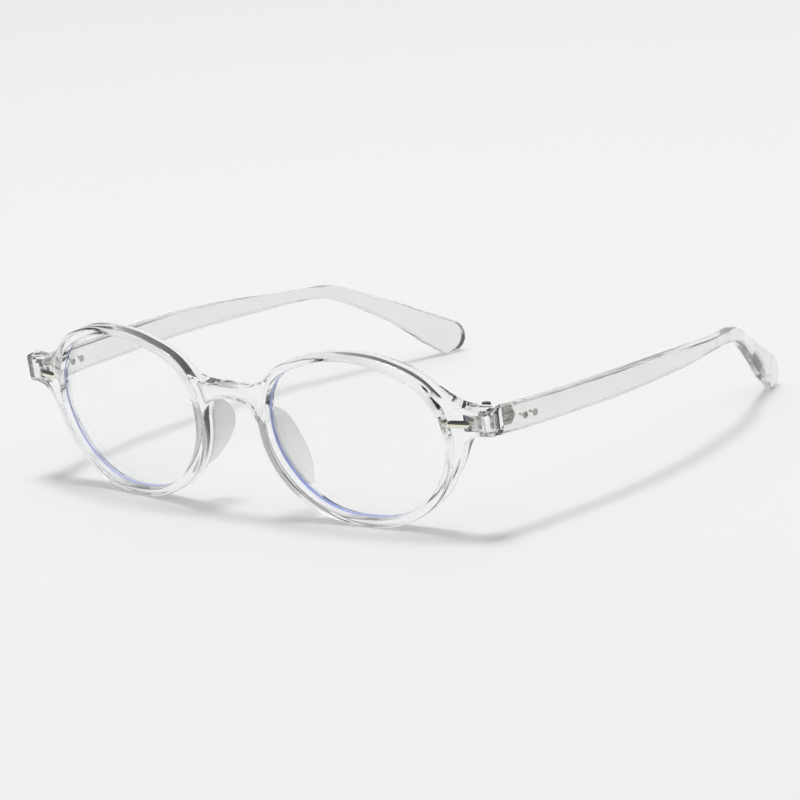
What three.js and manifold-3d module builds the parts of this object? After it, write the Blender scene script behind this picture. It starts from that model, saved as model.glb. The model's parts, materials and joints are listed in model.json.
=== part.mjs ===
// Oval full-rim eyeglasses in clear plastic, standing open on the rim bottoms and the temple tips.
// Millimetres, +Z up. The front faces -Y, the temples run to +Y, and the wearer's left is +X.
// The front is drawn flat, as (u, v, w): u to the wearer's left, v up from the lens middle and
// w towards the wearer. warpFront then bows it and leans it forward.
import * as THREE from "three";
import { mergeVertices } from "three/addons/utils/BufferGeometryUtils.js";
import Module from "manifold-3d";

// Driving dimensions
const LENS_CENTRE = 35.4; // u of each lens middle
const LENS_RADII = [24, 23.3, 20.4, 19.5, 20.9, 24.5, 24, 22, 20.4, 19.5, 20.8, 22.6]; // each 30 deg
const LENS_W = -0.4; // front edge of the lens
const LENS_THICKNESS = 2;
const LENS_DOME = 1.2; // how far the lens middle stands proud of its edge
const LENS_BITE = 0.4; // how deep the lens edge sits in its groove
const GAP = 0.3; // between a set-in piece and its seat
const FRONT_RADIUS = 293; // bow of the front, seen from above
const FRONT_LEAN = THREE.MathUtils.degToRad(6.9); // the top leans forward
const LENS_HEIGHT = 21.35; // z of the lens middles
const RIM_MARGINS = [2.7, 2.9, 2.4, 1.7, 1.9, 2.5, 2.9, 3.1, 2.2, 2.35, 2.3, 2.4]; // each 30 deg
const RIM_FRONT = -2.2;
const RIM_BACK = 2.6;
const RIM_EDGE = 0.8; // cut off each rim edge
const TEMPLE_THICKNESS = 3.6;
const TEMPLE_FRONT = 9.9; // y of the temple's front end beside the hinge
const HINGE = new THREE.Vector3(66.6, 11.4, 27.2); // middle of the barrel
const HINGE_LEAN = THREE.MathUtils.degToRad(2); // the pin leans back with the temple
const BARREL_RADIUS = 1.35;
const BARREL_HEIGHT = 5.2;
const PIN_RADIUS = 0.55;
const RIVET_RADIUS = 0.8;
const RIVET_YS = [19.4, 22.7];
const TRIM_CENTRE = [63.8, 5.3]; // u, v of the metal dash on each end piece
const TRIM_LENGTH = 5.2;
const TRIM_HEIGHT = 1.7;

const wasm = await Module();
wasm.setup();

// Colours
const clearPlastic = new THREE.MeshStandardMaterial({
  color: 0xe6ebe8, roughness: 0.08, transparent: true, opacity: 0.35,
});
const clearLens = new THREE.MeshStandardMaterial({
  color: 0xf3f5fb, roughness: 0.03, transparent: true, opacity: 0.2,
});
const milkyPad = new THREE.MeshStandardMaterial({
  color: 0xe1e4e0, roughness: 0.35, transparent: true, opacity: 0.6,
});
const silver = new THREE.MeshStandardMaterial({ color: 0xc9c8c0, roughness: 0.25, metalness: 1 });
const champagne = new THREE.MeshStandardMaterial({ color: 0xc6c0a8, roughness: 0.2, metalness: 1 });
const darkSteel = new THREE.MeshStandardMaterial({ color: 0x55565a, roughness: 0.3, metalness: 1 });

// ---- Solids ----

// A closed geometry through rings of equal length. The rings close on themselves along the way,
// or each end gets a flat cap round its middle.
function loft(rings, closed = false) {
  const sides = rings[0].length;
  const points = rings.flat();
  const faces = [];
  const spans = closed ? rings.length : rings.length - 1;
  for (let i = 0; i < spans; i++) {
    const a = i * sides;
    const b = ((i + 1) % rings.length) * sides;
    for (let j = 0; j < sides; j++) {
      const k = (j + 1) % sides;
      faces.push(a + j, a + k, b + k, a + j, b + k, b + j);
    }
  }
  if (!closed) {
    [0, rings.length - 1].forEach((r) => {
      const middle = new THREE.Vector3();
      rings[r].forEach((p) => middle.addScaledVector(p, 1 / sides));
      points.push(middle);
      for (let j = 0; j < sides; j++) {
        const k = (j + 1) % sides;
        const face = [points.length - 1, r * sides + k, r * sides + j];
        faces.push(...(r === 0 ? face : face.reverse()));
      }
    });
  }
  const geometry = new THREE.BufferGeometry().setFromPoints(points);
  geometry.setIndex(faces);
  return outward(geometry);
}

function signedVolume(geometry) {
  const p = geometry.getAttribute("position");
  const [a, b, c] = [new THREE.Vector3(), new THREE.Vector3(), new THREE.Vector3()];
  let sum = 0;
  for (let i = 0; i < geometry.index.count; i += 3) {
    a.fromBufferAttribute(p, geometry.index.getX(i));
    b.fromBufferAttribute(p, geometry.index.getX(i + 1));
    c.fromBufferAttribute(p, geometry.index.getX(i + 2));
    sum += a.dot(b.cross(c));
  }
  return sum / 6;
}

// The geometry with its faces turned round where they point inwards.
function outward(geometry) {
  if (signedVolume(geometry) < 0) geometry.index.array.reverse();
  return geometry;
}

function solid(geometry) {
  const bare = geometry.clone();
  bare.deleteAttribute("normal");
  bare.deleteAttribute("uv");
  const merged = outward(mergeVertices(bare, 1e-4));
  return new wasm.Manifold(
    new wasm.Mesh({
      numProp: 3,
      vertProperties: new Float32Array(merged.getAttribute("position").array),
      triVerts: new Uint32Array(merged.index.array),
    }),
  );
}

function geometryOf(manifold) {
  const mesh = manifold.getMesh();
  const geometry = new THREE.BufferGeometry();
  geometry.setAttribute("position", new THREE.BufferAttribute(mesh.vertProperties, 3));
  geometry.setIndex(new THREE.BufferAttribute(mesh.triVerts, 1));
  return geometry;
}

// The geometry with every vertex moved by a function of its place.
function moved(geometry, move) {
  const p = geometry.getAttribute("position");
  const v = new THREE.Vector3();
  for (let i = 0; i < p.count; i++) {
    v.fromBufferAttribute(p, i);
    move(v);
    p.setXYZ(i, v.x, v.y, v.z);
  }
  return geometry;
}

// The mirror image on the wearer's right.
function mirrored(geometry) {
  return outward(moved(geometry.clone(), (v) => v.setX(-v.x)));
}

// From the flat front, where x is u, y is w and z is v, to its place.
function warpFront(v) {
  v.y += (v.x * v.x) / (2 * FRONT_RADIUS);
  v.applyAxisAngle(new THREE.Vector3(1, 0, 0), FRONT_LEAN);
  v.z += LENS_HEIGHT;
}

// A smooth closed reading of values spaced evenly round a turn.
function roundTable(values) {
  const curve = new THREE.CatmullRomCurve3(
    values.map((r) => new THREE.Vector3(r, 0, 0)), true, "catmullrom", 0.5,
  );
  return (angle) => curve.getPoint(THREE.MathUtils.euclideanModulo(angle / (2 * Math.PI), 1)).x;
}

const lensRadius = roundTable(LENS_RADII);
const rimMargin = roundTable(RIM_MARGINS);
const TURN_STEPS = 60;
const TURN = Array.from({ length: TURN_STEPS }, (_, i) => (i * 2 * Math.PI) / TURN_STEPS);

// A point at a distance outside the lens outline, at an angle from the temple side over the top.
function aroundLens(angle, outside, w, share = 1) {
  const r = lensRadius(angle) * share + outside;
  return new THREE.Vector3(LENS_CENTRE + r * Math.cos(angle), w, r * Math.sin(angle));
}

// An oblong section with cut corners, from low to high along two directions.
function cutCorners(a0, a1, b0, b1, cut) {
  return [
    [a0 + cut, b0], [a1 - cut, b0], [a1, b0 + cut], [a1, b1 - cut],
    [a1 - cut, b1], [a0 + cut, b1], [a0, b1 - cut], [a0, b0 + cut],
  ];
}

// ---- The front ----

function rim() {
  const inner = -0.1;
  return loft(
    TURN.map((angle) =>
      cutCorners(inner, rimMargin(angle), RIM_FRONT, RIM_BACK, RIM_EDGE).map(([out, w]) =>
        aroundLens(angle, out, w),
      ),
    ),
    true,
  );
}

// The space inside a rim, a little wider than the lens outline at the back.
function rimHole() {
  const past = 1.5;
  return loft([RIM_FRONT - past, RIM_BACK + past].map((w) => TURN.map((a) => aroundLens(a, 0, w))));
}

function lensShape(outside, gap) {
  const dome = (share) => -LENS_DOME * (1 - share * share);
  const shares = [0.25, 0.5, 0.75];
  const ring = (share, w) => TURN.map((a) => aroundLens(a, outside * share, w, share));
  const front = LENS_W - gap;
  const back = LENS_W + LENS_THICKNESS + gap;
  return loft([
    ...shares.map((s) => ring(s, front + dome(s))),
    ring(1, front),
    ring(1, back),
    ...shares.toReversed().map((s) => ring(s, back + dome(s))),
  ]);
}

// A bar across the flat front, through sections from [u, v] at the top to [u, v] at the bottom.
function bar(sections, edge) {
  return loft(
    sections.map(([[topU, topV], [lowU, lowV], front, back]) => {
      const high = Math.hypot(topU - lowU, topV - lowV);
      return cutCorners(0, high, front, back, edge).map(([up, w]) => {
        const share = up / high;
        return new THREE.Vector3(lowU + (topU - lowU) * share, w, lowV + (topV - lowV) * share);
      });
    }),
  );
}

const BRIDGE_HALF = [
  [[0, 11.1], [0, 7.4]],
  [[4.3, 11.1], [3.8, 7]],
  [[7.5, 11.4], [6.2, 5.9]],
  [[10.2, 12.3], [7.8, 3.2]],
  [[12.6, 13.2], [9.4, -0.6]],
];

function bridge() {
  const half = BRIDGE_HALF.map(([top, low]) => [top, low, RIM_FRONT + 0.2, RIM_BACK - 0.2]);
  const other = half.slice(1).map(([top, low, f, b]) => [[-top[0], top[1]], [-low[0], low[1]], f, b]);
  return bar([...other.toReversed(), ...half], RIM_EDGE);
}

const END_PIECE = [
  [[51, 17.7], [57, -9.5]],
  [[54.5, 15.7], [59.8, -8]],
  [[58, 13.2], [61.8, -4.8]],
  [[61, 11], [63.4, -1.4]],
  [[64, 9.5], [65, 0.9]],
  [[67.5, 8.8], [67.6, 2]],
  [[71.7, 8.7], [71.7, 2.1]],
];

function endPiece() {
  return bar(END_PIECE.map(([top, low]) => [top, low, RIM_FRONT, RIM_BACK]), RIM_EDGE);
}

// A flat-ended pill lying across the end piece, to be set into its front.
function trimShape(grow, front, back) {
  const r = TRIM_HEIGHT / 2 + grow;
  const half = TRIM_LENGTH / 2 - TRIM_HEIGHT / 2;
  const sides = 16;
  const outline = Array.from({ length: sides }, (_, i) => {
    const a = ((i + 0.5) * 2 * Math.PI) / sides;
    return [Math.sign(Math.cos(a)) * half + r * Math.cos(a), r * Math.sin(a)];
  });
  const ring = (w, share) =>
    outline.map(([u, v]) => new THREE.Vector3(TRIM_CENTRE[0] + u * share, w, TRIM_CENTRE[1] + v * share));
  return loft([ring(front, 0.88), ring(front + 0.15, 1), ring(back, 1)]);
}

const TRIM_PROUD = 0.25;
const TRIM_DEPTH = 0.7;

// ---- The hinge: the front leaf has the middle barrel, the temple leaf the two outer ones ----

// Turns a shape made upright round the hinge middle into its leaning place.
function placeAtHinge(v) {
  v.applyAxisAngle(new THREE.Vector3(1, 0, 0), -HINGE_LEAN);
  v.add(HINGE);
}

const BARREL_GAP = 0.12;
const MIDDLE_HALF = 0.7;
const PIN_SIDES = 24;

function upright(radius, low, high, sides = PIN_SIDES) {
  const geometry = new THREE.CylinderGeometry(radius, radius, high - low, sides);
  geometry.rotateX(Math.PI / 2).translate(0, 0, (low + high) / 2);
  return solid(geometry);
}

function block(x0, x1, y0, y1, z0, z1) {
  const geometry = new THREE.BoxGeometry(x1 - x0, y1 - y0, z1 - z0);
  geometry.translate((x0 + x1) / 2, (y0 + y1) / 2, (z0 + z1) / 2);
  return solid(geometry);
}

const FRONT_ANCHOR = { x0: -2.6, x1: 3.4, y0: -3.9, y1: -2.2, z0: -2.1, z1: 2.1 };
const TEMPLE_PLATE = { x0: 1, x1: 1.8, y0: 1.9, y1: 5.2, point: 6.4, z0: -1.9, z1: 1.9 };

function frontLeaf() {
  const a = FRONT_ANCHOR;
  const top = MIDDLE_HALF - BARREL_GAP / 2;
  return block(a.x0, a.x1, a.y0, a.y1, a.z0, a.z1)
    .add(block(-BARREL_RADIUS, BARREL_RADIUS * 0.6, a.y1 - 0.4, 0, -top, top))
    .add(upright(BARREL_RADIUS, -top, top))
    .subtract(upright(PIN_RADIUS + 0.07, -2 * top, 2 * top));
}

function templeLeaf() {
  const p = TEMPLE_PLATE;
  const half = BARREL_HEIGHT / 2;
  const low = MIDDLE_HALF + BARREL_GAP / 2;
  const outline = new THREE.Shape([
    new THREE.Vector2(p.y0, p.z0),
    new THREE.Vector2(p.y1, p.z0),
    new THREE.Vector2(p.point, 0),
    new THREE.Vector2(p.y1, p.z1),
    new THREE.Vector2(p.y0, p.z1),
  ]);
  const plate = new THREE.ExtrudeGeometry(outline, { depth: p.x1 - p.x0, bevelEnabled: false });
  plate.rotateX(Math.PI / 2).rotateZ(Math.PI / 2).translate(p.x0, 0, 0);
  let leaf = solid(plate);
  for (const [z0, z1] of [[low, half], [-half, -low]]) {
    leaf = leaf
      .add(block(0, p.x1, 0, p.y0 + 0.4, Math.max(z0, p.z0), Math.min(z1, p.z1)))
      .add(upright(BARREL_RADIUS, z0, z1));
  }
  return leaf.subtract(upright(PIN_RADIUS + 0.07, -2 * half, 2 * half));
}

const SCREW_HEAD = { radius: 1.1, height: 0.65, slot: 0.3 };

function screw() {
  const half = BARREL_HEIGHT / 2;
  const head = half + BARREL_GAP;
  const { radius, height, slot } = SCREW_HEAD;
  return upright(PIN_RADIUS, -half, head + 0.1)
    .add(upright(radius, head, head + height))
    .subtract(block(-2 * radius, 2 * radius, -slot / 2, slot / 2, head + height - slot, head + 2 * height));
}

// ---- The temples ----

// Side profile: [y, top z, bottom z] along the temple, down over the ear to the tip.
const TEMPLE_SIDE = [
  [5, 30.4, 23.9], [18, 29.8, 23.3], [32, 29.4, 23.1], [50, 29.1, 22.9], [68, 28.4, 22.8],
  [84, 27.2, 22.6], [97, 25.9, 22.6], [106, 25.2, 22.3],
];
// Past the straight part: centre [y, z] and half the height across it.
const EAR_SIDE = [
  [112, 23, 1.8], [117.5, 20.9, 1.95], [123.5, 17.6, 2.2], [130, 13.9, 2.8], [136, 9.9, 3.5],
  [140.6, 6.9, 4.1],
];
const TIP = { y: 144.6, z: 4.42, radius: 4.45, heading: -0.48 }; // the half-round end of the ear piece
const TIP_ANGLES = [0, 25, 45, 62, 76, 86];
// Plan: [y, x of the outer face].
const TEMPLE_PLAN = [
  [3, 70.2], [30, 72.7], [55, 74.1], [80, 72.6], [100, 69], [115, 64.9], [130, 58.1], [145, 52.9],
  [156, 50],
];

function reading(pairs) {
  const curve = new THREE.SplineCurve(pairs.map(([y, x]) => new THREE.Vector2(y, x)));
  const steps = 400;
  const points = curve.getPoints(steps);
  return (y) => {
    const i = THREE.MathUtils.clamp(points.findIndex((p) => p.x >= y), 1, steps);
    const [a, b] = [points[i - 1], points[i]];
    return THREE.MathUtils.mapLinear(y, a.x, b.x, a.y, b.y);
  };
}

const outerFace = reading(TEMPLE_PLAN);

function temple() {
  const stations = [
    ...TEMPLE_SIDE.map(([y, top, low]) => [y, (top + low) / 2, (top - low) / 2]),
    ...EAR_SIDE,
    ...TIP_ANGLES.map((degrees) => {
      const angle = THREE.MathUtils.degToRad(degrees);
      const out = TIP.radius * Math.sin(angle);
      const y = TIP.y + out * Math.cos(TIP.heading);
      return [y, TIP.z + out * Math.sin(TIP.heading), TIP.radius * Math.cos(angle)];
    }),
  ].map(([y, z, half]) => new THREE.Vector3(y, z, half));
  const line = new THREE.CatmullRomCurve3(stations, false, "centripetal");
  const rings = 54;
  return loft(
    Array.from({ length: rings + 1 }, (_, i) => {
      const at = line.getPoint(i / rings);
      const along = line.getTangent(i / rings);
      const across = new THREE.Vector2(-along.y, along.x).normalize();
      const edge = Math.min(0.8, at.z * 0.4);
      return cutCorners(-at.z, at.z, -TEMPLE_THICKNESS, 0, edge).map(([up, x]) => {
        const y = at.x + across.x * up;
        return new THREE.Vector3(outerFace(y) + x, y, at.y + across.y * up);
      });
    }),
  );
}

// The plane of the joint between end piece and temple, square to the bowed front at the hinge.
const JOINT_TURN = Math.atan(HINGE.x / FRONT_RADIUS);

// Everything in front of the temple's front end, leaning with the front.
function aheadOfTemple() {
  const big = 40;
  const geometry = new THREE.BoxGeometry(big, big, big).translate(0, -big / 2, 0);
  geometry.rotateZ(JOINT_TURN).rotateX(FRONT_LEAN).translate(HINGE.x, TEMPLE_FRONT, HINGE.z);
  return solid(geometry);
}

// A rivet square to the temple's side. Its ends stop short of both faces by the sink.
function rivet(y, radius, sink) {
  const side = outerFace(y);
  const turn = Math.atan((outerFace(y + 1) - outerFace(y - 1)) / 2);
  const geometry = new THREE.CylinderGeometry(radius, radius, TEMPLE_THICKNESS - 2 * sink, PIN_SIDES);
  geometry.rotateZ(Math.PI / 2).rotateZ(-turn);
  geometry.translate(side - TEMPLE_THICKNESS / 2, y, templeMiddle(y));
  return geometry;
}

const templeMiddle = reading(TEMPLE_SIDE.map(([y, top, low]) => [y, (top + low) / 2]));

// ---- The nose pads ----

// Fin behind the nasal rim: [z, x and y at the root, x and y at the rear edge].
const PAD_SECTIONS = [
  [26.2, 9.5, 2.7, 9.5, 4.2],
  [24.8, 9.5, 2.9, 9.4, 7.4],
  [21.5, 9.8, 3.3, 9.7, 10],
  [18, 10.5, 3.8, 10.9, 11.1],
  [14.8, 12, 4.4, 12.7, 11.1],
  [12, 13.8, 5, 14.4, 10.2],
  [9.6, 15.8, 5.5, 15.9, 8.4],
  [8.2, 17.2, 5.9, 17.1, 7],
];
const PAD_THICKNESS = 1.7;

function nosePad() {
  const curve = (i) => new THREE.SplineCurve(PAD_SECTIONS.map((s) => new THREE.Vector2(s[0], s[i])));
  const [rootX, rootY, rearX, rearY] = [1, 2, 3, 4].map(curve);
  const rings = 16;
  return loft(
    Array.from({ length: rings + 1 }, (_, i) => {
      const t = i / rings;
      const root = new THREE.Vector2(rootX.getPoint(t).y, rootY.getPoint(t).y);
      const rear = new THREE.Vector2(rearX.getPoint(t).y, rearY.getPoint(t).y);
      const z = rootX.getPoint(t).x;
      const along = rear.clone().sub(root);
      const length = along.length();
      along.normalize();
      const half = (PAD_THICKNESS / 2) * Math.min(1, 0.55 + 4 * t * (1 - t));
      return cutCorners(0, length, -half, half, Math.min(0.6, length * 0.3)).map(
        ([out, side]) =>
          new THREE.Vector3(
            root.x + along.x * out + along.y * side,
            root.y + along.y * out - along.x * side,
            z,
          ),
      );
    }),
  );
}

// ---- Putting it together ----

const group = new THREE.Group();

function add(name, geometry, material) {
  geometry.computeVertexNormals();
  const mesh = new THREE.Mesh(geometry, material);
  mesh.name = name;
  group.add(mesh);
}

function addPair(name, geometry, material) {
  add(name + "_left", geometry, material);
  add(name + "_right", mirrored(geometry), material);
}

// The manifold with every vertex moved, as a manifold again.
function reshaped(manifold, move) {
  return solid(moved(geometryOf(manifold), move));
}

const atHinge = (manifold) => reshaped(manifold, placeAtHinge);
const onFront = (geometry) => solid(moved(geometry, warpFront));

// Half of the front, with its groove, is cut before bending; its mirror image is joined on.
function frontFrame() {
  const trimSeat = trimShape(GAP / 2, RIM_FRONT - 1, RIM_FRONT + TRIM_DEPTH + GAP);
  const oneSide = solid(rim())
    .add(solid(endPiece()))
    .subtract(solid(rimHole()))
    .subtract(solid(lensShape(LENS_BITE + GAP, GAP)))
    .subtract(solid(trimSeat));
  const flat = solid(bridge())
    .subtract(solid(rimHole()))
    .subtract(solid(lensShape(LENS_BITE + GAP, GAP)));
  const otherHole = solid(mirrored(rimHole())).add(solid(mirrored(lensShape(LENS_BITE + GAP, GAP))));
  const whole = flat.subtract(otherHole).add(oneSide).add(solid(mirrored(geometryOf(oneSide))));
  const a = FRONT_ANCHOR;
  const seat = atHinge(
    block(a.x0 - GAP, a.x1 + GAP, a.y0 - GAP, 4, a.z0 - GAP, a.z1 + GAP).add(
      upright(BARREL_RADIUS + GAP, -6, 6),
    ),
  );
  const floor = block(-90, 90, -20, 30, -10, 0);
  return reshaped(whole, warpFront)
    .subtract(seat)
    .subtract(solid(mirrored(geometryOf(seat))))
    .subtract(floor);
}

function leftTemple() {
  const p = TEMPLE_PLATE;
  const seat = atHinge(
    block(p.x0 - 3, p.x1 + GAP, p.y0 - 4, p.y1 + 2 * GAP, p.z0 - GAP, p.z1 + GAP)
      .add(block(p.x0 - 3, p.x1 + GAP, p.y1, p.point + GAP, p.z0 / 2 - GAP, p.z1 / 2 + GAP))
      .add(upright(BARREL_RADIUS + GAP, -6, 6)),
  );
  let arm = solid(temple()).subtract(aheadOfTemple()).subtract(seat);
  for (const y of RIVET_YS) arm = arm.subtract(solid(rivet(y, RIVET_RADIUS + 0.12, -1)));
  return arm.subtract(block(0, 90, 100, 170, -10, 0));
}

add("front_frame", geometryOf(frontFrame()), clearPlastic);
addPair("lens", moved(lensShape(LENS_BITE, 0), warpFront), clearLens);
addPair("nose_pad", nosePad(), milkyPad);
addPair("trim", geometryOf(onFront(trimShape(0, RIM_FRONT - TRIM_PROUD, RIM_FRONT + TRIM_DEPTH))), champagne);
addPair("hinge_front_leaf", geometryOf(atHinge(frontLeaf())), silver);
addPair("hinge_temple_leaf", geometryOf(atHinge(templeLeaf())), silver);
addPair("hinge_screw", geometryOf(atHinge(screw())), darkSteel);
addPair("temple", geometryOf(leftTemple()), clearPlastic);
RIVET_YS.forEach((y, i) => {
  addPair(["rivet_fore", "rivet_aft"][i], rivet(y, RIVET_RADIUS, 0), silver);
});

// The origin is the middle of the footprint, on the surface it stands on.
const extent = new THREE.Box3().setFromObject(group);
group.position.y = -(extent.min.y + extent.max.y) / 2;

export default group;
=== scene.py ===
import json
import math

import bmesh
import bpy
from mathutils import Matrix, Vector


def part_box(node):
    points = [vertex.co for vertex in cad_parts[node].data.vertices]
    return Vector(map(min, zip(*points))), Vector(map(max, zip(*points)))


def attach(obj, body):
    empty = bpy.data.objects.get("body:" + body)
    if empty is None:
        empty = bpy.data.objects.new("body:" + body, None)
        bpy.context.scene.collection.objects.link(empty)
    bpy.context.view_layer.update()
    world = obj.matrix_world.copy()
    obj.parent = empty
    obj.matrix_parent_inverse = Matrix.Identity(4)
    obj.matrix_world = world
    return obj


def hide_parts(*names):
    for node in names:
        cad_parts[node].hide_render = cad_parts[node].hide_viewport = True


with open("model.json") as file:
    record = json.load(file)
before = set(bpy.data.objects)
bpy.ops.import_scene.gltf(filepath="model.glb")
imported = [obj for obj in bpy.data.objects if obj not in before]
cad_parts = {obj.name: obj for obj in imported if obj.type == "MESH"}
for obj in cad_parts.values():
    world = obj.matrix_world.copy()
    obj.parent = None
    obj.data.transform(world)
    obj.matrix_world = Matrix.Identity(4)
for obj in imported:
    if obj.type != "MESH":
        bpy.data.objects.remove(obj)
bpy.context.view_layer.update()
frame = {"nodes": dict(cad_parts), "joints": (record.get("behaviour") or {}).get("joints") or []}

# ---------------------------------------------------------------- sizes
# Millimetres. The front is drawn flat, as (u, v, w): u to the wearer's left, v up from the lens
# middle and w towards the wearer. It is then bowed and leaned into its place.
MM = 0.001
HINGE = Vector(frame["joints"][0]["pos_m"]) / MM
FRONT_Y = HINGE.y - 11.4
ROUND_STEPS = 192
FLOOR_BLOCK = ((-100, -120, -9), (100, 120, 0))

# The front. The radii and margins go round each lens in twelve even steps, up from the temple side.
LENS_CENTRE = 35.4
LENS_RADII = [24, 23.3, 20.4, 19.5, 20.9, 24.5, 24, 22, 20.4, 19.5, 20.8, 22.6]
RIM_MARGINS = [2.7, 2.9, 2.4, 1.7, 1.9, 2.5, 2.9, 3.1, 2.2, 2.35, 2.3, 2.4]
FRONT_RADIUS = 293
FRONT_LEAN = math.radians(6.9)
LENS_HEIGHT = 21.35
RIM_FRONT = -2.2
RIM_BACK = 2.6
RIM_CORNERS = (0.45, 0.85, 1.15, 0.45)
LENS_W = -0.4
LENS_THICKNESS = 2.0
LENS_DOME = 1.2
HOLE_MARGIN = 0.25
PAD_HALF_THICKNESS = 0.85

# The temples
TEMPLE_THICKNESS = 3.6
TEMPLE_FRONT = 9.9
TEMPLE_EDGE = 0.75
EAR_START = 110
EAR_RUN = 20
EAR_THINNING = 1.0

# The hinge. A block is two corners, and a post is its radius and two heights, all measured from
# the hinge middle.
HINGE_LEAN = math.radians(2)
HINGE_AXIS = Vector((0, math.sin(HINGE_LEAN), math.cos(HINGE_LEAN)))
NOTCH = (1.65, -6, 6)
POCKET_X = (63.7, 69.6)
POCKET_Y = (-4.3, 3)
POCKET_HALF_HEIGHT = 1.9
LEAF_BLOCK = ((-2.7, -4.1, -1.65), (-0.3, -2.1, 1.65))
LEAF_ARM = ((-1.3, -2.8, -0.55), (0.5, -0.2, 0.55))
LEAF_EDGE = 0.07
GROOVE_HEIGHTS = (-0.9, 0, 0.9)
GROOVE_HALF = 0.16
BARREL = (1.33, -0.64, 0.64)
PIN_HOLE = (0.63, -2, 2)
SCREW_HEAD = (1.05, 2.95, 3.75)
SCREW_SHANK = (0.55, -2.6, 3.2)
SCREW_EDGE = 0.16

# The metal dash and the rivets
DASH_PLACE = (63.8, 5.3)
DASH_RADIUS = 0.92
DASH_THICKNESS = 1.1
DASH_HALF_RUN = 1.75
DASH_ROUNDING = 0.8
DASH_FLATTENING = 0.6
DASH_HEIGHT = 27.2
RIVET_HEAD = 0.85
RIVET_INNER_HEAD = 0.34
RIVET_SHANK = 0.12
RIVET_DEPTH = 0.35

# In metres: points this close are merged along seams, and slivers this small are dissolved.
SEAM = 1e-7
SLIVER = 2e-7


# ---------------------------------------------------------------- smooth readings
def spline(values, t, closed=False):
    """A Catmull-Rom reading of a list of numbers or vectors, at t counted in list places."""
    n = len(values)
    i = math.floor(t)
    f = t - i

    def at(k):
        return values[k % n] if closed else values[max(0, min(n - 1, k))]

    a, b, c, d = at(i - 1), at(i), at(i + 1), at(i + 2)
    slope_b = (c - a) * 0.5
    slope_c = (d - b) * 0.5
    return (
        b * (2 * f**3 - 3 * f**2 + 1)
        + slope_b * (f**3 - 2 * f**2 + f)
        + c * (3 * f**2 - 2 * f**3)
        + slope_c * (f**3 - f**2)
    )


def round_table(values, angle):
    """A reading of a list that goes once round in even steps."""
    return spline(values, (angle / math.tau % 1) * len(values), closed=True)


def reading(pairs, x):
    """The second number of the pairs at x of the first, smoothly."""
    for i in range(len(pairs) - 1):
        if x <= pairs[i + 1][0] or i == len(pairs) - 2:
            low, high = pairs[i][0], pairs[i + 1][0]
            break
    return spline([p[1] for p in pairs], i + (x - low) / (high - low))


def on_front(u, w, v):
    """The place of a point of the flat front."""
    bowed = w + u * u / (2 * FRONT_RADIUS)
    y = bowed * math.cos(FRONT_LEAN) - v * math.sin(FRONT_LEAN)
    z = bowed * math.sin(FRONT_LEAN) + v * math.cos(FRONT_LEAN)
    return Vector((u, y + FRONT_Y, z + LENS_HEIGHT))


def around_lens(angle, outside, w, share=1.0):
    """The place at an angle round the left lens, this far outside the share of its radius."""
    r = round_table(LENS_RADII, angle) * share + outside
    return on_front(LENS_CENTRE + r * math.cos(angle), w, r * math.sin(angle))


def rounded(a0, a1, b0, b1, radii, steps=3):
    """An oblong with rounded corners, as points round it. The radii start at the low, low corner."""
    corners = [
        (a0, b0, 1, 1, math.pi),
        (a1, b0, -1, 1, 1.5 * math.pi),
        (a1, b1, -1, -1, 0),
        (a0, b1, 1, -1, 0.5 * math.pi),
    ]
    points = []
    for (a, b, sa, sb, start), r in zip(corners, radii):
        for k in range(steps + 1):
            turn = start + k * math.pi / 2 / steps
            points.append((a + sa * r + r * math.cos(turn), b + sb * r + r * math.sin(turn)))
    return points


# ---------------------------------------------------------------- modelling by hand
def alone(obj):
    """Only this object is selected, and it is the active one."""
    bpy.ops.object.select_all(action="DESELECT")
    obj.select_set(True)
    bpy.context.view_layer.objects.active = obj


def named(name):
    obj = bpy.context.object
    obj.name = name
    obj.data.name = name
    return obj


def in_edit(obj, step):
    alone(obj)
    bpy.ops.object.mode_set(mode="EDIT")
    step()
    bpy.ops.object.mode_set(mode="OBJECT")
    return obj


def select_all():
    bpy.ops.mesh.select_all(action="SELECT")


def merge_and_close():
    """Merges the seams, caps open ends and turns the normals outwards."""
    select_all()
    bpy.ops.mesh.remove_doubles(threshold=SEAM)
    bpy.ops.mesh.select_all(action="DESELECT")
    bpy.ops.mesh.select_mode(type="EDGE")
    bpy.ops.mesh.select_non_manifold()
    bpy.ops.mesh.edge_face_add()
    bpy.ops.mesh.select_mode(type="VERT")
    select_all()
    bpy.ops.mesh.normals_make_consistent(inside=False)


def wrapped(name, sections, closed=False):
    """A sheet laid through the sections, each a ring of places in millimetres, then closed."""
    along = len(sections) - (0 if closed else 1)
    round_ = len(sections[0])
    bpy.ops.mesh.primitive_grid_add(x_subdivisions=along, y_subdivisions=round_, size=1)
    obj = named(name)
    for vertex in obj.data.vertices:
        i = round((vertex.co.x + 0.5) * along)
        j = round((vertex.co.y + 0.5) * round_)
        vertex.co = sections[i % len(sections)][j % round_] * MM
    return in_edit(obj, merge_and_close)


def apply_modifier(obj, kind, **settings):
    alone(obj)
    modifier = obj.modifiers.new(kind.title(), kind)
    for key, value in settings.items():
        setattr(modifier, key, value)
    bpy.ops.object.modifier_apply(modifier=modifier.name)


def join_solid(obj, *others):
    """The solids are made one with the first."""
    for other in others:
        apply_modifier(obj, "BOOLEAN", operation="UNION", solver="EXACT", object=other)
        bpy.data.objects.remove(other)
    return obj


def cut_solid(obj, cutter, keep=False):
    apply_modifier(obj, "BOOLEAN", operation="DIFFERENCE", solver="EXACT", object=cutter)
    if not keep:
        bpy.data.objects.remove(cutter)
    return obj


def smooth(obj, degrees=32):
    alone(obj)
    bpy.ops.object.shade_smooth_by_angle(angle=math.radians(degrees))
    return obj


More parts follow.
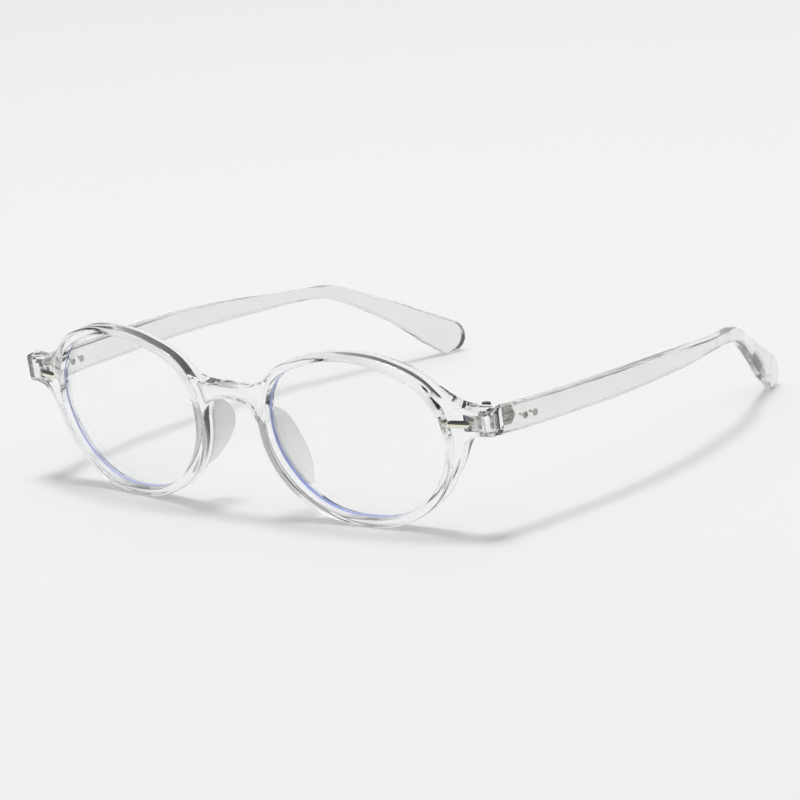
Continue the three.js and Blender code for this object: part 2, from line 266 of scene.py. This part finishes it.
def copied(obj, name):
    twin = obj.copy()
    twin.data = obj.data.copy()
    twin.name = name
    twin.data.name = name
    bpy.context.scene.collection.objects.link(twin)
    return twin


def mirror_of(obj, name):
    """The same piece on the wearer's right."""

    def flip():
        select_all()
        bpy.ops.transform.resize(value=(-1, 1, 1), center_override=(0, 0, 0))
        bpy.ops.mesh.normals_make_consistent(inside=False)

    return in_edit(copied(obj, name), flip)


def block_at(low, high, name="block"):
    """A block between two corners in millimetres."""
    low, high = Vector(low), Vector(high)
    bpy.ops.mesh.primitive_cube_add(size=MM, location=(low + high) / 2 * MM, scale=high - low)
    bpy.ops.object.transform_apply(location=True, rotation=True, scale=True)
    return named(name)


def block_at_hinge(low, high, name="block"):
    """A block between two corners measured from the hinge middle."""
    low, high = ([a + b for a, b in zip(HINGE, corner)] for corner in (low, high))
    return block_at(low, high, name)


def post_at_hinge(name, size, vertices=32):
    """A round post on the hinge axis, from its radius and its two heights."""
    radius, low, high = size
    bpy.ops.mesh.primitive_cylinder_add(
        vertices=vertices,
        radius=radius * MM,
        depth=(high - low) * MM,
        location=(HINGE + HINGE_AXIS * (low + high) / 2) * MM,
        rotation=(-HINGE_LEAN, 0, 0),
    )
    bpy.ops.object.transform_apply(location=True, rotation=True, scale=True)
    return named(name)


def cut_below_floor(obj):
    """Nothing reaches below the surface that the glasses stand on."""
    return cut_solid(obj, block_at(*FLOOR_BLOCK))


def notch_hinge(obj):
    """The upright round notch that clears the hinge barrel."""
    return cut_solid(obj, post_at_hinge("notch", NOTCH))


def clean(obj):
    """Slivers left by the cuts are dissolved."""

    def dissolve():
        select_all()
        bpy.ops.mesh.remove_doubles(threshold=SLIVER)
        bpy.ops.mesh.dissolve_degenerate(threshold=SLIVER)
        bpy.ops.mesh.normals_make_consistent(inside=False)

    in_edit(obj, dissolve)
    obj.data.validate()
    return obj


# ---------------------------------------------------------------- the front
def rim():
    """The ring round the left lens, with a loop on its inner wall beside each lens face."""
    loops = [(0, LENS_W + LENS_THICKNESS + 0.02), (0, LENS_W - 0.02)]
    sections = []
    for i in range(ROUND_STEPS):
        angle = i * math.tau / ROUND_STEPS
        margin = round_table(RIM_MARGINS, angle)
        ring = rounded(0, margin, RIM_FRONT, RIM_BACK, RIM_CORNERS, 5)
        sections.append([around_lens(angle, out, w) for out, w in ring + loops])
    return wrapped("rim", sections, closed=True)


def bar(name, stations, front, back, radius):
    """A bar across the front. A station is its top (u, v) and its low (u, v)."""
    sections = []
    steps = 6
    last = len(stations) - 1
    for k in range(last * steps + 1):
        t = k / steps
        top = spline([Vector(s[0]) for s in stations], t)
        low = spline([Vector(s[1]) for s in stations], t)
        high = (top - low).length
        section = []
        for up, w in rounded(0, high, front, back, (radius,) * 4, 4):
            at = low.lerp(top, up / high)
            section.append(on_front(at.x, w, at.y))
        sections.append(section)
    return wrapped(name, sections)


BRIDGE_HALF = [
    ((0, 11.1), (0, 7.4)),
    ((4.3, 11.1), (3.8, 7)),
    ((7.5, 11.4), (6.2, 5.9)),
    ((10.2, 12.3), (7.8, 3.2)),
    ((12.6, 13.2), (9.4, -0.6)),
]
END_PIECE = [
    ((51, 17.7), (57, -9.5)),
    ((54.5, 15.7), (59.8, -8)),
    ((58, 13.2), (61.8, -4.8)),
    ((61, 11), (63.4, -1.4)),
    ((64, 9.5), (65, 0.9)),
    ((67.5, 8.8), (67.6, 2)),
    ((71.7, 8.7), (71.7, 2.1)),
]


def lens_hole():
    """A solid through the rim, a little larger than the lens."""
    return wrapped(
        "hole",
        [
            [around_lens(i * math.tau / ROUND_STEPS, HOLE_MARGIN, w) for i in range(ROUND_STEPS)]
            for w in (RIM_FRONT - 2, RIM_BACK + 2)
        ],
    )


def front_shape():
    """The left half is made with its end piece and hinge pocket, mirrored, and bridged."""
    left = rim()
    hole = lens_hole()
    end = bar("end", END_PIECE, RIM_FRONT + 0.12, RIM_BACK - 0.05, 0.7)
    cut_solid(end, hole, keep=True)
    join_solid(left, end)
    y, z = HINGE.yz
    pocket_low = (POCKET_X[0], y + POCKET_Y[0], z - POCKET_HALF_HEIGHT)
    pocket_high = (POCKET_X[1], y + POCKET_Y[1], z + POCKET_HALF_HEIGHT)
    cut_solid(left, block_at(pocket_low, pocket_high, "pocket"))
    notch_hinge(left)
    cut_below_floor(left)
    right = mirror_of(left, "right half")
    other_half = [((-t[0], t[1]), (-s[0], s[1])) for t, s in BRIDGE_HALF[:0:-1]]
    bridge = bar("bridge", other_half + BRIDGE_HALF, RIM_FRONT + 0.25, RIM_BACK - 0.5, 0.85)
    for cutter in (mirror_of(hole, "hole right"), hole):
        cut_solid(bridge, cutter)
    front = join_solid(left, right, bridge)
    front.name = "front"
    return smooth(clean(front))


front = front_shape()


# ---------------------------------------------------------------- the lenses
def lens_shape():
    """A domed lens with a thin bevel round both faces. The shares are parts of its radius."""
    shares = [0.02, 0.2, 0.4, 0.6, 0.8, 0.93]
    edge = 0.06

    def ring(share, w, outside=-0.02):
        dome = -LENS_DOME * (1 - share * share)
        return [
            around_lens(i * math.tau / ROUND_STEPS, outside, w + dome, share)
            for i in range(ROUND_STEPS)
        ]

    back = LENS_W + LENS_THICKNESS
    sections = [ring(s, LENS_W) for s in shares]
    sections += [ring(1, LENS_W, -edge), ring(1, LENS_W + edge)]
    sections += [ring(1, back - edge), ring(1, back, -edge)]
    sections += [ring(s, back) for s in shares[::-1]]
    return smooth(wrapped("lens_left_clear", sections), 30)


lens_left = lens_shape()


def mark_lens_edge(lens, centre_sign):
    """The faces of the wall round the lens take the second material."""
    middle = on_front(centre_sign * LENS_CENTRE, 0, 0) * MM
    for face in lens.data.polygons:
        out = Vector(face.center) - middle
        out.y = 0
        if abs(face.normal.dot(out.normalized())) > 0.7:
            face.material_index = 1


# ---------------------------------------------------------------- the nose pads
# [z, x and y at the root, x and y at the rear edge]
PAD_SECTIONS = [
    (26.6, 9.0, 2.9, 9.0, 4.2),
    (24.8, 9.3, 3.0, 9.3, 7.4),
    (21.5, 9.7, 3.3, 9.6, 10.0),
    (18, 10.5, 3.8, 10.8, 11.1),
    (14.8, 12, 4.4, 12.6, 11.1),
    (12, 13.8, 5, 14.3, 10.2),
    (9.6, 15.8, 5.5, 15.9, 8.4),
    (8, 17.4, 5.9, 17.3, 6.9),
]


def pad_shape():
    """A soft fin from the rim back towards the wearer."""
    sections = []
    rings = 40
    for k in range(rings + 1):
        t = k / rings * (len(PAD_SECTIONS) - 1)
        z, root_x, root_y, rear_x, rear_y = (
            spline([s[i] for s in PAD_SECTIONS], t) for i in range(5)
        )
        root = Vector((root_x, root_y - 1.2))
        rear = Vector((rear_x, rear_y))
        length = (rear - root).length
        along = (rear - root).normalized()
        share = k / rings
        half = PAD_HALF_THICKNESS * min(1, 0.35 + 5 * share * (1 - share))
        ring = rounded(0, length, -half, half, (half * 0.6, half * 0.98, half * 0.98, half * 0.6), 4)
        section = []
        for out, side in ring:
            x = root.x + along.x * out + along.y * side
            y = root.y + along.y * out - along.x * side + FRONT_Y
            section.append(Vector((x, y, z)))
        sections.append(section)
    return smooth(wrapped("nose_pad_left_soft", sections), 50)


pad_left = pad_shape()

# ---------------------------------------------------------------- the temples
# [y, top z, bottom z] along the straight part, then [y, z, half the height] over the ear.
TEMPLE_SIDE = [
    (5, 30.4, 23.9),
    (18, 29.8, 23.3),
    (32, 29.4, 23.1),
    (50, 29.1, 22.9),
    (68, 28.4, 22.8),
    (84, 27.2, 22.6),
    (97, 25.9, 22.6),
    (106, 25.2, 22.3),
]
EAR_SIDE = [
    (112, 23.0, 1.8),
    (117.5, 20.9, 1.95),
    (123.5, 17.6, 2.2),
    (130, 13.9, 2.8),
    (136, 9.9, 3.5),
    (140.6, 6.9, 4.1),
]
TIP = Vector((144.6, 4.42))
TIP_RADIUS = 4.45
TIP_DIP = 0.48
TIP_HEADING = Vector((math.cos(TIP_DIP), -math.sin(TIP_DIP)))
# [y, x of the outer face]
TEMPLE_PLAN = [
    (3, 70.2),
    (30, 72.7),
    (55, 74.1),
    (80, 72.6),
    (100, 69),
    (115, 64.9),
    (130, 58.1),
    (145, 52.9),
    (156, 50),
]


def outer_face(y):
    return reading(TEMPLE_PLAN, y)


def temple_shape():
    """The whole temple, from its slanted front end over the ear to the round tip."""
    stations = [Vector((y, (top + low) / 2, (top - low) / 2)) for y, top, low in TEMPLE_SIDE]
    stations += [Vector(s) for s in EAR_SIDE] + [Vector((*TIP, TIP_RADIUS))]
    per_span = 7
    near = 0.02
    last = len(stations) - 1
    path = []
    for k in range(last * per_span):
        t = k / per_span
        along = spline(stations, t + near) - spline(stations, max(t - near, 0))
        path.append((spline(stations, t), Vector((-along.y, along.x)).normalized()))
    tip_steps = 19
    last_turn = 88
    for k in range(tip_steps + 1):
        turn = math.radians(last_turn * math.sin(k / tip_steps * math.pi / 2))
        end = TIP + TIP_HEADING * TIP_RADIUS * math.sin(turn)
        at = Vector((*end, TIP_RADIUS * math.cos(turn)))
        path.append((at, Vector((-TIP_HEADING.y, TIP_HEADING.x))))
    sections = []
    for at, across in path:
        radius = min(TEMPLE_EDGE, at.z * 0.45)
        thick = TEMPLE_THICKNESS - EAR_THINNING * min(1, max(0, (at.x - EAR_START) / EAR_RUN))
        slim = thick * (1 if at.z > 2 else 0.3 + 0.7 * math.sqrt(1 - (1 - at.z / 2) ** 2))
        spare = (thick - slim) / 2
        ring = rounded(-at.z, at.z, spare - thick, -spare, (radius,) * 4, 3)
        section = []
        for up, x in ring:
            y = at.x + across.x * up
            section.append(Vector((outer_face(y) + x, y + FRONT_Y, at.y + across.y * up)))
        sections.append(section)
    temple = wrapped("temple_left_clear", sections)
    turn = math.atan(HINGE.x / FRONT_RADIUS)
    normal = Matrix.Rotation(FRONT_LEAN, 3, "X") @ Matrix.Rotation(turn, 3, "Z") @ Vector((0, 1, 0))

    def cut():
        select_all()
        bpy.ops.mesh.bisect(
            plane_co=Vector((HINGE.x, FRONT_Y + TEMPLE_FRONT, HINGE.z)) * MM,
            plane_no=normal,
            clear_inner=True,
            use_fill=True,
            threshold=SEAM,
        )

    in_edit(temple, cut)
    cut_below_floor(temple)
    notch_hinge(temple)
    return smooth(clean(temple), 25)


temple_left = temple_shape()


# ---------------------------------------------------------------- the front hinge leaf and the screw
def front_leaf_shape():
    """A ribbed block in the pocket of the end piece and the middle barrel it carries."""
    leaf = block_at_hinge(*LEAF_BLOCK, "hinge_front_leaf_left_metal")
    for up in GROOVE_HEIGHTS:
        cut_solid(leaf, block_at_hinge((-4, -5, up - GROOVE_HALF), (1, -3.8, up + GROOVE_HALF)))
    join_solid(leaf, block_at_hinge(*LEAF_ARM), post_at_hinge("barrel", BARREL))
    cut_solid(leaf, post_at_hinge("screw hole", PIN_HOLE))
    apply_modifier(leaf, "BEVEL", width=LEAF_EDGE * MM, segments=2, limit_method="ANGLE")
    return smooth(leaf, 40)


leaf_left = front_leaf_shape()


def screw_shape():
    """The hinge pin with its low round head just above the plastic."""
    screw = post_at_hinge("hinge_screw_left_steel", SCREW_HEAD, 40)
    join_solid(screw, post_at_hinge("shank", SCREW_SHANK, 40))
    apply_modifier(screw, "BEVEL", width=SCREW_EDGE * MM, segments=3, limit_method="ANGLE")
    return smooth(screw, 40)


screw_left = screw_shape()


# ---------------------------------------------------------------- metal trim and rivets
def trim_shape():
    """A round disc pulled out to a dash, domed in front and laid on the bowed front."""
    bpy.ops.mesh.primitive_cylinder_add(
        vertices=32,
        radius=DASH_RADIUS * MM,
        depth=DASH_THICKNESS * MM,
        rotation=(math.radians(90), 0, 0),
    )
    obj = named("trim_left_metal")
    alone(obj)
    bpy.ops.object.transform_apply(location=False, rotation=True, scale=False)
    for vertex in obj.data.vertices:
        vertex.co.x += math.copysign(DASH_HALF_RUN * MM, vertex.co.x)

    def soften():
        bpy.ops.mesh.select_all(action="DESELECT")
        mesh = bmesh.from_edit_mesh(obj.data)
        for edge in mesh.edges:
            edge.select = all(v.co.y < 0 for v in edge.verts)
        mesh.select_flush_mode()
        bpy.ops.mesh.bevel(offset=DASH_ROUNDING * MM, segments=8, affect="EDGES")

    in_edit(obj, soften)
    for vertex in obj.data.vertices:
        u, w, v = vertex.co / MM
        deep = RIM_FRONT + 0.05 + w * DASH_FLATTENING
        vertex.co = on_front(DASH_PLACE[0] + u, deep, DASH_PLACE[1] + v) * MM
    return smooth(obj, 40)


trim_left = trim_shape()


def rivet_shape(name, node, dimple):
    """A round outer head, with a dimple in it, and a small inner one on a thin shank."""
    low, high = (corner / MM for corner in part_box(node))
    centre = (low + high) / 2
    head, inner_head, shank, deep = RIVET_HEAD, RIVET_INNER_HEAD, RIVET_SHANK, RIVET_DEPTH
    half = TEMPLE_THICKNESS / 2 - 0.03
    profile = [
        (half - dimple, 0.02),
        (half - dimple, head * 0.42),
        (half, head * 0.6),
        (half, head - 0.1),
        (half - 0.1, head),
        (half - deep, head),
        (half - deep - 0.1, shank),
        (deep + 0.1 - half, shank),
        (deep - half, inner_head),
        (0.1 - half, inner_head),
        (-half, inner_head - 0.1),
        (-half, inner_head * 0.5),
        (0.15 - half, inner_head * 0.4),
        (0.15 - half, 0.02),
    ]
    y = centre.y - FRONT_Y
    slope = outer_face(y + 1) - outer_face(y)
    round_steps = 28
    turns = [k * math.tau / round_steps for k in range(round_steps)]
    sections = []
    for x, r in profile:
        ring = [(r * math.cos(turn), r * math.sin(turn)) for turn in turns]
        sections.append([centre + Vector((x + slope * a, a - slope * x, b)) for a, b in ring])
    return smooth(wrapped(name, sections), 40)


# ---------------------------------------------------------------- materials
class Sum:
    """A value socket that works in plain arithmetic."""

    def __init__(self, kit, socket):
        self.kit = kit
        self.socket = socket

    def math(self, operation, *values):
        node = self.kit.node("ShaderNodeMath", {"operation": operation}, dict(enumerate(values)))
        return Sum(self.kit, node.outputs[0])

    def sine(self):
        return self.math("SINE", self)

    def at_most(self, other):
        return self.math("MINIMUM", self, other)

    def __add__(self, other):
        return self.math("ADD", self, other)

    def __sub__(self, other):
        return self.math("SUBTRACT", self, other)

    def __rsub__(self, other):
        return self.math("SUBTRACT", other, self)

    def __mul__(self, other):
        return self.math("MULTIPLY", self, other)

    __radd__ = __add__
    __rmul__ = __mul__


# The part of the light that passes each face on its way to the floor
PLASTIC_PASSES = (0.70, 0.705, 0.703)
LENS_PASSES = (0.975, 0.978, 0.985)
EDGE_PASSES = (0.93, 0.93, 0.97)
PAD_PASSES = (0.82, 0.83, 0.83)


class Finish:
    """A material and the nodes it is built from."""

    def __init__(self, name):
        self.material = bpy.data.materials.new(name)
        self.material.use_nodes = True
        self.tree = self.material.node_tree
        self.tree.nodes.clear()

    def node(self, kind, settings=None, values=None):
        made = self.tree.nodes.new(kind)
        for key, value in (settings or {}).items():
            if key == "stops":
                ramp = made.color_ramp
                while len(ramp.elements) < len(value):
                    ramp.elements.new(0.5)
                for element, (place, colour) in zip(ramp.elements, value):
                    element.position = place
                    element.color = (*colour, 1)
            else:
                setattr(made, key, value)
        for key, value in (values or {}).items():
            value = value.socket if isinstance(value, Sum) else value
            if isinstance(value, bpy.types.NodeSocket):
                self.tree.links.new(value, made.inputs[key])
            else:
                made.inputs[key].default_value = value
        return made

    def place(self):
        return self.node("ShaderNodeTexCoord").outputs["Object"]

    def noise(self, scale, detail, roughness, stretch=(1, 1, 1)):
        """Noise with this many grains to a metre, from 0 to 1."""
        mapped = self.node("ShaderNodeMapping", None, {"Vector": self.place(), "Scale": stretch})
        values = {"Vector": mapped.outputs[0], "Scale": scale, "Detail": detail, "Roughness": roughness}
        return Sum(self, self.node("ShaderNodeTexNoise", None, values).outputs[0])

    def ramp(self, value, *stops):
        return self.node("ShaderNodeValToRGB", {"stops": stops}, {0: value}).outputs[0]

    def bump(self, height, distance, strength):
        values = {"Height": height, "Distance": distance, "Strength": strength}
        return self.node("ShaderNodeBump", None, values).outputs[0]

    def surface(self, **values):
        names = {key.replace("_", " "): value for key, value in values.items()}
        return self.node("ShaderNodeBsdfPrincipled", None, names).outputs[0]

    def lets_light_through(self, shader, colour):
        """Light on its way to the floor is dimmed by the colour at each face."""
        clear = self.node("ShaderNodeBsdfTransparent", None, {"Color": (*colour, 1)}).outputs[0]
        for kind in ("Is Diffuse Ray", "Is Shadow Ray"):
            path = self.node("ShaderNodeLightPath").outputs[kind]
            shader = self.node("ShaderNodeMixShader", None, {0: path, 1: shader, 2: clear}).outputs[0]
        return shader

    def done(self, shader):
        self.node("ShaderNodeOutputMaterial", None, {"Surface": shader})
        return self.material


def clear_plastic(name, tint, clearness):
    finish = Finish(name)
    flow = finish.noise(90, 2, 0.4, (1, 0.35, 1))
    haze = finish.noise(420, 4, 0.6)
    shader = finish.surface(
        Base_Color=finish.ramp(flow, (0.3, tint), (0.7, tuple(c * 1.02 for c in tint))),
        Roughness=0.012 + haze * 0.03,
        Normal=finish.bump(flow, 0.00025, 0.3),
        IOR=1.49,
        Transmission_Weight=clearness,
    )
    return finish.done(finish.lets_light_through(shader, PLASTIC_PASSES))


def lens_plastic():
    finish = Finish("lens plastic")
    smear = finish.noise(60, 3, 0.55)
    shader = finish.surface(
        Base_Color=finish.ramp(smear, (0.3, (0.985, 0.988, 0.994)), (0.7, (0.995, 0.995, 0.998))),
        Roughness=0.004 + smear * 0.01,
        IOR=1.5,
        Transmission_Weight=1.0,
        Specular_Tint=(0.62, 0.68, 1.0, 1),
    )
    return finish.done(finish.lets_light_through(shader, LENS_PASSES))


def lens_edge():
    finish = Finish("violet lens edge")
    streak = finish.noise(300, 3, 0.5)
    inside = finish.surface(
        Base_Color=finish.ramp(streak, (0.3, (0.20, 0.28, 0.80)), (0.7, (0.32, 0.39, 0.90))),
        Roughness=0.25 + streak * 0.1,
        Transmission_Weight=0.1,
        IOR=1.5,
    )
    outside = finish.surface(
        Base_Color=(0.9, 0.91, 0.99, 1),
        Roughness=0.03 + streak * 0.03,
        Transmission_Weight=1.0,
        IOR=1.5,
    )
    side = finish.node("ShaderNodeNewGeometry").outputs["Backfacing"]
    both = finish.node("ShaderNodeMixShader", None, {0: side, 1: outside, 2: inside}).outputs[0]
    return finish.done(finish.lets_light_through(both, EDGE_PASSES))


def milky_plastic():
    finish = Finish("milky pad plastic")
    cloud = finish.noise(220, 3, 0.5)
    shader = finish.surface(
        Base_Color=finish.ramp(cloud, (0.3, (0.94, 0.95, 0.935)), (0.7, (0.975, 0.98, 0.97))),
        Roughness=0.32 + cloud * 0.12,
        Normal=finish.bump(cloud, 0.00012, 0.5),
        IOR=1.45,
        Transmission_Weight=0.62,
    )
    return finish.done(finish.lets_light_through(shader, PAD_PASSES))


def metal(name, dark, light, rough, stretch, painted_groove_shade=0):
    """Brushed metal. Ribs are level grooves drawn as dark bands of painted shade, this many to a metre.
    """
    finish = Finish(name)
    brush = finish.noise(2600, 3, 0.6, stretch)
    patch = finish.noise(700, 3, 0.5)
    tone = patch * 0.6 + brush * 0.4
    if painted_groove_shade:
        # Painted shade: dark level bands in the base colour stand in for the shade inside the grooves.
        split = finish.node("ShaderNodeSeparateXYZ", None, {0: finish.place()}).outputs["Z"]
        groove_shade_bands = (Sum(finish, split) * (painted_groove_shade * math.tau)).sine()
        tone = tone * (groove_shade_bands * 1.5 + 1.6).at_most(1)
    shader = finish.surface(
        Base_Color=finish.ramp(tone, (0.3, dark), (0.72, light)),
        Metallic=1.0,
        Roughness=rough + brush * 0.14,
        Normal=finish.bump(brush, 0.00002, 0.5),
    )
    return finish.done(shader)


def blacked_steel():
    """The blacked head of the screw, which stays dark from every side."""
    finish = Finish("blacked screw steel")
    patch = finish.noise(1500, 3, 0.5)
    shader = finish.surface(
        Base_Color=finish.ramp(patch, (0.3, (0.012, 0.012, 0.014)), (0.7, (0.045, 0.045, 0.05))),
        Roughness=0.42 + patch * 0.12,
        Specular_IOR_Level=0.25,
    )
    return finish.done(shader)


def dash_metal_painted_reflection():
    """Pale gold below, with a painted reflection: near black on the slope that faces up."""
    finish = Finish("champagne dash metal with painted reflection")
    split = finish.node("ShaderNodeSeparateXYZ", None, {0: finish.place()}).outputs["Z"]
    brush = finish.noise(2600, 3, 0.6, (0.15, 1, 1))
    # Painted reflection: above the dash middle the base colour turns near black, standing in for a dark
    # reflection on the upper slope.
    tone = (Sum(finish, split) * (1 / MM) - DASH_HEIGHT) * 1.6 + 0.5 + brush * 0.12
    shader = finish.surface(
        Base_Color=finish.ramp(
            tone,
            (0.3, (0.86, 0.84, 0.70)),
            (0.58, (0.74, 0.72, 0.58)),
            (0.72, (0.05, 0.05, 0.04)),
            (1.0, (0.10, 0.10, 0.09)),
        ),
        Metallic=1.0,
        Roughness=0.14 + brush * 0.12,
        Normal=finish.bump(brush, 0.00002, 0.4),
    )
    return finish.done(shader)


CLEAR = clear_plastic("clear front plastic", (0.965, 0.97, 0.98), 1.0)
TEMPLE = clear_plastic("clear temple plastic", (0.895, 0.91, 0.893), 0.94)
LENS = lens_plastic()
EDGE = lens_edge()
MILKY = milky_plastic()
SILVER = metal("silver hinge metal", (0.62, 0.62, 0.59), (0.93, 0.92, 0.89), 0.16, (1, 0.15, 1))
RIBBED_PAINTED_SHADE = metal("ribbed hinge metal with painted groove shade", (0.3, 0.3, 0.27), (0.93, 0.92, 0.88), 0.2, (1, 0.15, 1), 640)
RIVET = metal("rivet metal", (0.34, 0.34, 0.31), (0.62, 0.62, 0.57), 0.3, (1, 1, 1))
# The dash metal carries a painted dark reflection on its upper slope.
CHAMPAGNE_PAINTED_REFLECTION = dash_metal_painted_reflection()
BLACKED = blacked_steel()


def finished(obj, body, slot, nodes, *materials):
    """The piece takes its materials, its body and the place of its CAD nodes; the slot is not used."""
    obj.data.materials.clear()
    for material in materials:
        obj.data.materials.append(material)
    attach(obj, body)
    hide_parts(*nodes)


finished(front, "front", "clear_plastic", ["front_frame"], CLEAR)
lens_right = mirror_of(lens_left, "lens_right_clear")
pad_right = mirror_of(pad_left, "nose_pad_right_soft")
trim_right = mirror_of(trim_left, "trim_right_metal")
leaf_right = mirror_of(leaf_left, "hinge_front_leaf_right_metal")
screw_right = mirror_of(screw_left, "hinge_screw_right_steel")
temple_right = mirror_of(temple_left, "temple_right_clear")
for side, sign, lens, pad, trim, leaf, screw, temple in (
    ("left", 1, lens_left, pad_left, trim_left, leaf_left, screw_left, temple_left),
    ("right", -1, lens_right, pad_right, trim_right, leaf_right, screw_right, temple_right),
):
    finished(lens, "front", "lens", ["lens_" + side], LENS, EDGE)
    mark_lens_edge(lens, sign)
    finished(pad, "front", "pad", ["nose_pad_" + side], MILKY)
    finished(trim, "front", "champagne_metal", ["trim_" + side], CHAMPAGNE_PAINTED_REFLECTION)
    finished(temple, side + "_temple", "clear_plastic", ["temple_" + side], TEMPLE)
    finished(leaf, "front", "silver_metal", ["hinge_front_leaf_" + side], SILVER)
    finished(screw, "front", "dark_steel", ["hinge_screw_" + side], BLACKED)
    for kind, dimple in (("rivet_fore_", 0.3), ("rivet_aft_", 0.04)):
        rivet = rivet_shape(kind + side + "_pin", kind + side, dimple)
        finished(rivet, side + "_temple", "silver_metal", [kind + side], RIVET)
    temple_leaf = frame["nodes"]["hinge_temple_leaf_" + side]
    temple_leaf.data.materials.clear()
    # The temple hinge leaf gets metal with painted shade in its grooves.
    temple_leaf.data.materials.append(RIBBED_PAINTED_SHADE)

# ---------------------------------------------------------------- floor, lights and camera
scene = bpy.context.scene
bpy.ops.mesh.primitive_plane_add(size=9, location=(0, 1.5, 0))
floor = named("floor")
paint = Finish("studio floor")
painted = paint.surface(Base_Color=(0.86, 0.862, 0.862, 1), Roughness=0.6)
floor.data.materials.append(paint.done(painted))


def soft_light(name, place, target, size, power):
    data = bpy.data.lights.new(name, "AREA")
    data.shape = "RECTANGLE"
    data.size, data.size_y = size
    data.energy = power
    obj = bpy.data.objects.new(name, data)
    obj.location = place
    obj.rotation_euler = (Vector(target) - Vector(place)).to_track_quat("-Z", "Y").to_euler()
    scene.collection.objects.link(obj)
    return obj


middle = (0, 0, 0)
overhead = soft_light("overhead", (-0.15, 0.1, 2.5), middle, size=(0.62, 0.62), power=40)
overhead.visible_transmission = False
fill = soft_light("fill", (0, 0.3, 3.2), middle, size=(7, 7), power=96)
fill.visible_glossy = False
fill.visible_transmission = False

# The card is never seen itself, only mirrored in the clear and metal pieces.
bpy.ops.mesh.primitive_plane_add(size=1)
card = named("dark card")
paint = Finish("dark card")
painted = paint.surface(Base_Color=(0.03, 0.03, 0.032, 1), Roughness=0.9)
card.data.materials.append(paint.done(painted))
card.location = (-0.6, -1.85, 1.3)
card.rotation_euler = Vector(card.location).to_track_quat("Z", "Y").to_euler()
card.scale = (1.2, 0.8, 1)
card.visible_camera = False
card.visible_shadow = False
card.visible_diffuse = False

world = bpy.data.worlds.new("studio")
scene.world = world
world.use_nodes = True
world.cycles_visibility.diffuse = False
sky = world.node_tree
way = sky.nodes.new("ShaderNodeTexCoord")
split = sky.nodes.new("ShaderNodeSeparateXYZ")
shade = sky.nodes.new("ShaderNodeValToRGB")
sky.links.new(way.outputs["Generated"], split.inputs[0])
sky.links.new(split.outputs["Z"], shade.inputs[0])
sky.links.new(shade.outputs[0], sky.nodes["Background"].inputs[0])

# How bright the surroundings are, from level and below up to straight overhead
SKY = [(0.0, 0.84), (0.18, 0.84), (0.34, 0.8), (0.5, 0.74), (0.66, 0.8), (1.0, 0.9)]
while len(shade.color_ramp.elements) < len(SKY):
    shade.color_ramp.elements.new(0.5)
for element, (place, bright) in zip(shade.color_ramp.elements, SKY):
    element.position = place
    element.color = (bright, bright, bright, 1)

CAMERA_PLACE = Vector((738.83, -825.89 + FRONT_Y, 304.57))
CAMERA_RIGHT = Vector((0.77848, 0.62270, -0.07887))
CAMERA_UP = Vector((-0.09389, 0.23977, 0.96628))
camera_data = bpy.data.cameras.new("camera")
camera_data.sensor_width = 36
camera_data.lens = 218.07
camera_data.clip_end = 30
camera = bpy.data.objects.new("camera", camera_data)
axes = Matrix((CAMERA_RIGHT, CAMERA_UP, CAMERA_RIGHT.cross(CAMERA_UP)))
turn = axes.transposed().to_4x4()
camera.matrix_world = Matrix.Translation(CAMERA_PLACE * MM) @ turn
scene.collection.objects.link(camera)
scene.camera = camera
scene.view_settings.view_transform = "Standard"
